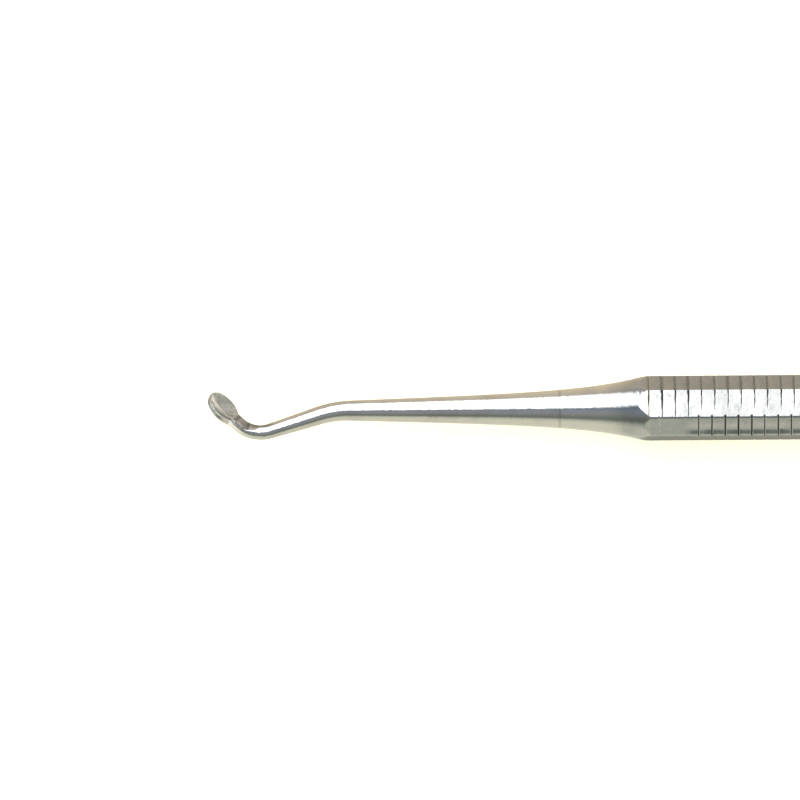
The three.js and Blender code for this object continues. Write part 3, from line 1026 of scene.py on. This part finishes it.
tube_seam = (tube_high.x, -seam_ring_low.x + BRAZE_GAP)
tang_seam = (-mouth_ring_high.x - BRAZE_GAP, -mouth_ring_low.x + BRAZE_GAP)
rings = {}
for side_name, side in (("left", -1), ("right", 1)):
    rings[f"{side_name}_tube_braze"] = braze_ring(
        f"{side_name}_tube_braze", side, *tube_seam, SPIGOT_RADIUS + SPIGOT_CLEARANCE, "facets")
    rings[f"{side_name}_tang_braze"] = braze_ring(
        f"{side_name}_tang_braze", side, *tang_seam, TANG_BORE_RADIUS, "round")
for piece in rings.values():
    piece.data.materials.append(BRAZE)
print("seams", [round((far - near) / MM, 2) for near, far in (tube_seam, tang_seam)], "mm wide")

# %% [markdown]
# ## The line of the shank
#
# The shank was turned straight and then bent twice over a mandrel, so its centreline is straight
# runs and arcs that stay in one plane. Each run has a length and a turn, and the heading at any
# station is the sum of the turns up to there. Positions come from summing short chords.

# %% Centreline
# Each run as (length in millimetres, turn in degrees). The last one carries the spoon.
SHANK_RUNS = ((28.8, 0), (3.1, -17.5), (4.95, 0), (3.45, 63.5), (9.0, 0))
LAST_BEND_END = sum(length for length, _ in SHANK_RUNS[:-1])
CHORD = 0.02 * MM


def centreline(stations):
    """Places (x, y) on the left shank's centreline and headings from -X towards +Y, for an array
    of stations in metres. Stations below zero run straight back into the handle."""
    ends = np.cumsum([0] + [length for length, _ in SHANK_RUNS]) * MM
    turns = np.cumsum([0] + [turn for _, turn in SHANK_RUNS])
    fine = np.arange(0, ends[-1], CHORD)
    heading = np.radians(np.interp(fine + CHORD / 2, ends, turns))
    x = -HALF_HANDLE - np.concatenate([[0], np.cumsum(np.cos(heading))]) * CHORD
    y = np.concatenate([[0], np.cumsum(np.sin(heading))]) * CHORD
    marks = np.concatenate([fine, [fine[-1] + CHORD]])
    places_x = np.where(stations < 0, -HALF_HANDLE - stations, np.interp(stations, marks, x))
    places_y = np.where(stations < 0, 0, np.interp(stations, marks, y))
    return places_x, places_y, np.radians(np.interp(stations, ends, turns))


print("the last bend ends", round(LAST_BEND_END, 2), "mm out from the octagon")

# %% [markdown]
# ## Working ends
#
# A working end is one forging: a knurled tang, a tapered shank, a neck, and a spoon a few
# millimetres long. It is made as one skin, a section carried along the centreline. Along the
# shank the section is a circle. Over the neck it changes into the section of the spoon, whose
# back is a rounded box and whose top is the flat face with the bowl sunk in it. Blending one
# section into the other, point by point, is what leaves no seam at the neck.
#
# The face leans 35 degrees about the spoon's long axis, so the sections roll by that much on
# their way along the shank. A circle doesn't show it. Two things were done by hand afterwards: the
# neck was dressed flat on the side of the face, where the pliers left two small dents, and the
# spoon's near rim was ground to a slant that widens towards the tip.

# %% The section of the spoon
SPOON_LENGTH = 3.3 * MM
SPOON_WIDTH = 2.3 * MM
BOWL_WALL = 0.16 * MM
BOWL_DEPTH = 0.26 * MM
BOWL_POWER = 0.9
BOWL_LEAN = 0.55
BOWL_CENTRE = 0.1 * MM
# The near side's rim and bowl, as shares of the far side's.
NEAR_RIM = 0.83
NEAR_BOWL = 0.70
# How far down from the near rim the back takes to bulge out to its full width, as a share.
NEAR_BULGE = 0.22
# The ground slant: its steepness, its least width and what it gains, where along the spoon it
# gains it, and the most that it takes off as a share of the spoon's depth.
RIM_SLANT = 1.5
SLANT_WIDTH = 0.09
SLANT_GAIN = 0.26
SLANT_GAIN_RUN = (-0.2 * MM, 1.3 * MM)
SLANT_LIMIT = 0.3
FACE_RISE = 0.3 * MM
SPOON_ROLL = math.radians(35)
FACE_PAST_BEND = 2.2
FACE_STATION = (LAST_BEND_END + FACE_PAST_BEND) * MM
HEEL_HALF_WIDTH = 0.66 * MM
TIP_BLUNTNESS = 2.25
SPOON_DEPTH = 0.80 * MM
DEPTH_FALL = 0.14
BACK_SQUARENESS = 3.2
SECTION_POINTS = 112


def signed_power(value, power):
    """A power that keeps the sign, which makes superellipses out of cosines."""
    return np.sign(value) * np.abs(value) ** power


def spoon_outline(along):
    """Half width and depth below the face at a distance along from the face's middle. The plan is
    an ellipse that widens into the neck at its heel, and the back rises towards the tip."""
    share = np.clip(2 * along / SPOON_LENGTH, -1, 1)
    bluntness = np.where(share > 0, TIP_BLUNTNESS, 2.0)
    oval = SPOON_WIDTH / 2 * (1 - np.abs(share) ** bluntness) ** (1 / bluntness)
    heel = HEEL_HALF_WIDTH * (along < 0)
    half_width = (oval**4 + heel**4) ** 0.25
    rounding = np.where(share > 0, (1 - np.abs(share) ** 4) ** 0.45, 1)
    depth = (SPOON_DEPTH - DEPTH_FALL * along) * rounding
    return half_width, depth


def spoon_section(along, turn):
    """Points (w, z) of the spoon's section, and which of them lie on the satin face: along is a
    column, turn a row from 0 to one turn. The upper half runs over the face and through the bowl,
    which is deepest off its middle. The lower half runs round the back, which bulges out past the
    near rim. The slant lowers whatever lies close to that rim."""
    half_width, depth = spoon_outline(along)
    near = np.cos(turn) < 0
    w = half_width * np.cos(turn) * np.where(near, NEAR_RIM, 1)
    over = np.sin(turn) >= 0
    bowl_a, bowl_b = SPOON_LENGTH / 2 - BOWL_WALL, SPOON_WIDTH / 2 - BOWL_WALL
    lengthways = (along - BOWL_CENTRE) / (bowl_a - np.sign(along - BOWL_CENTRE) * BOWL_CENTRE)
    crossways = w / (bowl_b * np.where(near, NEAR_BOWL, 1))
    inside = np.clip(1 - lengthways**2 - crossways**2, 0, None)
    bowl = -BOWL_DEPTH * inside**BOWL_POWER * (1 - BOWL_LEAN * crossways)
    down = np.abs(np.sin(turn))
    back_w = half_width * signed_power(np.cos(turn), 2 / BACK_SQUARENESS)
    back_w = back_w * (1 - near * (1 - NEAR_RIM) * np.exp(-((down / NEAR_BULGE) ** 2)))
    back_z = -depth * down ** (2 / BACK_SQUARENESS)
    w = np.where(over, w, back_w)
    slant_width = (SLANT_WIDTH + SLANT_GAIN * ease(along, *SLANT_GAIN_RUN)) * MM
    in_slant = np.clip(slant_width - (half_width * NEAR_RIM + w), 0, None)
    slant = np.minimum(RIM_SLANT * in_slant, SLANT_LIMIT * depth)
    face = over & (slant <= 0)
    return w, np.where(over, bowl, back_z) - slant, face


print("spoon", round(SPOON_LENGTH / MM, 2), "by", round(SPOON_WIDTH / MM, 2), "mm")

# %% The skin of a working end
SHOULDER = -mouth_ring_low.x + BRAZE_GAP - HALF_HANDLE
TANG_RADIUS = 1.15 * MM
KNURL_DEPTH = 0.09 * MM
KNURL_TEETH = 20
# How far back from the shoulder the knurl starts and ends, each as (nothing, full depth).
KNURL_START = (12.2 * MM, 12 * MM)
KNURL_END = (4.2 * MM, 4 * MM)
# Rows back from the shoulder along the tang, closest together at the ends of the knurl.
TANG_ROWS = np.array([16, 15.9, 12.4, 12.2, 12.1, 12, 8, 4.2, 4.1, 4, 2, 0.001]) * MM
NECK_FLAT_START = 37.1 * MM
NECK_FLAT_RUN = 2.4 * MM
NECK_FLAT_START_HEIGHT = 0.85 * MM
NECK_FLAT_END_HEIGHT = 0.45 * MM
NECK_RIDGE_POWER = 50.0
# Two dents that the pliers left in the flat, as (station, angle).
NECK_DENTS = ((39.7 * MM, math.radians(124)), (40.0 * MM, math.radians(112)))
NECK_DENT_DEPTH = 0.03 * MM
NECK_DENT_RADIUS = 0.11 * MM
# Stations between which the sections roll, and distances from the face's middle between which
# they change into the spoon's and the finish changes into satin.
ROLL_RUN = (28 * MM, 40 * MM)
TO_SPOON_RUN = (-2.15 * MM, -1.5 * MM)
SATIN_RUN = (-1.9 * MM, -1.5 * MM)
TIP_SATIN_RUN = (0, 0.6 * MM)
# The inside of the last bend, where shade is painted: where it starts and the painted shade ends,
# which way it faces, and how wide it is, as two cosines of the angle off that way.
BEND_START = (36.0 * MM, 37.2 * MM)
BEND_SHADE_END = (38.4 * MM, 39.6 * MM)
BEND_SHADE_WAY = math.radians(31)
BEND_SHADE_SPREAD = (0.4, 0.75)
# The same for the wider stretch round it, where a milder painted shade dulls the steel.
WIDE_SHADE_WAY = math.radians(40)
WIDE_SHADE_SPREAD = (0.1, 0.6)
WIDE_SHADE_STRENGTH = 0.6
SHANK_ROW = 0.12
NECK_ROW = 0.045
SHANK_ROWS_END = 36.5
NECK_ROWS_START = 36.55
TIP_ROWS = 46


def shank_radius(station, turn):
    """Tang with its straight knurl, then the turned shank with the ripple that buffing leaves."""
    in_knurl = ease(station, *(SHOULDER - back for back in KNURL_START))
    in_knurl = in_knurl * (1 - ease(station, *(SHOULDER - back for back in KNURL_END)))
    tooth = 0.5 + 0.5 * np.cos(KNURL_TEETH * turn)
    tang = TANG_RADIUS - KNURL_DEPTH * (1 - in_knurl * tooth)
    turned = turned_radius(station) + buffing_ripple(station, turn)
    return np.where(station < SHOULDER, tang, turned)


def dressed_neck(station, turn, radius):
    """The neck where it was dressed flat by hand on the side of the spoon's face. The flat sinks
    towards the spoon, it has two small round dents, and it meets the round of the neck in a
    ridge."""
    sink = ease(station, NECK_FLAT_START, NECK_FLAT_START + NECK_FLAT_RUN)
    plane = NECK_FLAT_START_HEIGHT + (NECK_FLAT_END_HEIGHT - NECK_FLAT_START_HEIGHT) * sink
    for dent_station, dent_turn in NECK_DENTS:
        off = (station - dent_station) ** 2 + (radius * (turn - dent_turn)) ** 2
        plane = plane - NECK_DENT_DEPTH * np.exp(-off / NECK_DENT_RADIUS**2)
    facing = np.clip(np.sin(turn), 0.02, None)
    total = radius ** -NECK_RIDGE_POWER + (plane / facing) ** -NECK_RIDGE_POWER
    dressed = total ** (-1 / NECK_RIDGE_POWER)
    return np.where(sink > 0, dressed, radius)


def working_stations():
    """Rows along the tang, the shank, the neck and the spoon, closest together at its tip."""
    shank = np.arange(SHOULDER / MM, SHANK_ROWS_END, SHANK_ROW) * MM
    neck = np.arange(NECK_ROWS_START, FACE_STATION / MM, NECK_ROW) * MM
    sweep = np.linspace(0, math.pi / 2, TIP_ROWS)[1:-1]
    tip = FACE_STATION + SPOON_LENGTH / 2 * np.sin(sweep)
    return np.concatenate([SHOULDER - TANG_ROWS, shank, neck, tip])


def working_end_grid():
    """The left working end as a spindle grid, its two poles and the masks of its finishes."""
    station = working_stations()[:, None]
    turn = np.linspace(0, 2 * math.pi, SECTION_POINTS, endpoint=False)[None, :]
    along = station - FACE_STATION
    radius = shank_radius(station, turn)
    radius = dressed_neck(station, turn, radius)
    bar_w, bar_h = radius * np.cos(turn), radius * np.sin(turn)
    spoon_w, spoon_z, face = spoon_section(along, turn)
    to_spoon = ease(along, *TO_SPOON_RUN)
    w = bar_w + (spoon_w - bar_w) * to_spoon
    h = bar_h + (spoon_z + FACE_RISE - bar_h) * to_spoon
    x, y, heading = centreline(station)
    roll = (SPOON_ROLL * ease(station, *ROLL_RUN))[..., None]
    across = np.stack([np.sin(heading), np.cos(heading), 0 * heading], axis=-1)
    up = np.array([0.0, 0.0, 1.0])
    side_way = np.cos(roll) * across - np.sin(roll) * up
    face_way = np.cos(roll) * up + np.sin(roll) * across
    middle = np.stack([x, y, np.full(x.shape, AXIS_HEIGHT)], axis=-1)
    grid = middle + w[..., None] * side_way + h[..., None] * face_way
    tip_x, tip_y, _ = centreline(np.array([FACE_STATION + SPOON_LENGTH / 2]))
    lift = FACE_RISE * face_way[-1, 0]
    tip = np.array([tip_x[0], tip_y[0], AXIS_HEIGHT]) + lift
    tang_end = np.array([-HALF_HANDLE - station[0, 0], 0, AXIS_HEIGHT])
    near_tip = ease(along, *TIP_SATIN_RUN) * (np.sin(turn) >= 0)
    satin = ease(along, *SATIN_RUN) * np.maximum(face, near_tip)
    # Painted shade inside the last bend: the steel is dulled over a wide stretch and darkened
    # brownish on its inner side.
    in_bend = ease(station, *BEND_START)
    buffed_less_painted_shade = 1 - WIDE_SHADE_STRENGTH * in_bend * ease(np.cos(turn - WIDE_SHADE_WAY), *WIDE_SHADE_SPREAD)
    bend_shade = in_bend * (1 - ease(station, *BEND_SHADE_END))
    bend_shade = bend_shade * ease(np.cos(turn - BEND_SHADE_WAY), *BEND_SHADE_SPREAD)
    masks = {"satin": satin, "buffed_less_painted_shade": buffed_less_painted_shade, "bend_shade": bend_shade}
    return grid, (tang_end, tip), masks


def working_end(name, side):
    """The left working end, or its mirror image at the right end."""
    grid, poles, masks = working_end_grid()
    flip = np.array([-side, 1, 1])
    piece = closed_mesh(name, grid * flip, [p * flip for p in poles], masks)
    piece.data.materials.append(BUFFED)
    return piece


left_end = working_end("left_shank_and_spoon", -1)
right_end = working_end("right_shank_and_spoon", 1)

# %% [markdown]
# ## Into the frame
#
# Nothing on this instrument moves, so every piece rides on the one body. Each piece stands for the
# CAD node that it replaces, and the table names a material slot for it.

# %% Rides, replacements and slots
STANDS_FOR = [
    (handle, "handle_tube", "handle_steel"),
    (left_ferrule, "left_end_ferrule", "ferrule_steel"),
    (right_ferrule, "right_end_ferrule", "ferrule_steel"),
    (left_end, "left_working_end", "working_steel"),
    (right_end, "right_working_end", "working_steel"),
    (rings["left_tube_braze"], "left_tube_braze_ring", "braze_silver"),
    (rings["right_tube_braze"], "right_tube_braze_ring", "braze_silver"),
    (rings["left_tang_braze"], "left_tang_braze_ring", "braze_silver"),
    (rings["right_tang_braze"], "right_tang_braze_ring", "braze_silver"),
]
for piece, node, slot in STANDS_FOR:
    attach(piece, "root")
    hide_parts(node)
print(len(STANDS_FOR), "pieces ride on the one body")
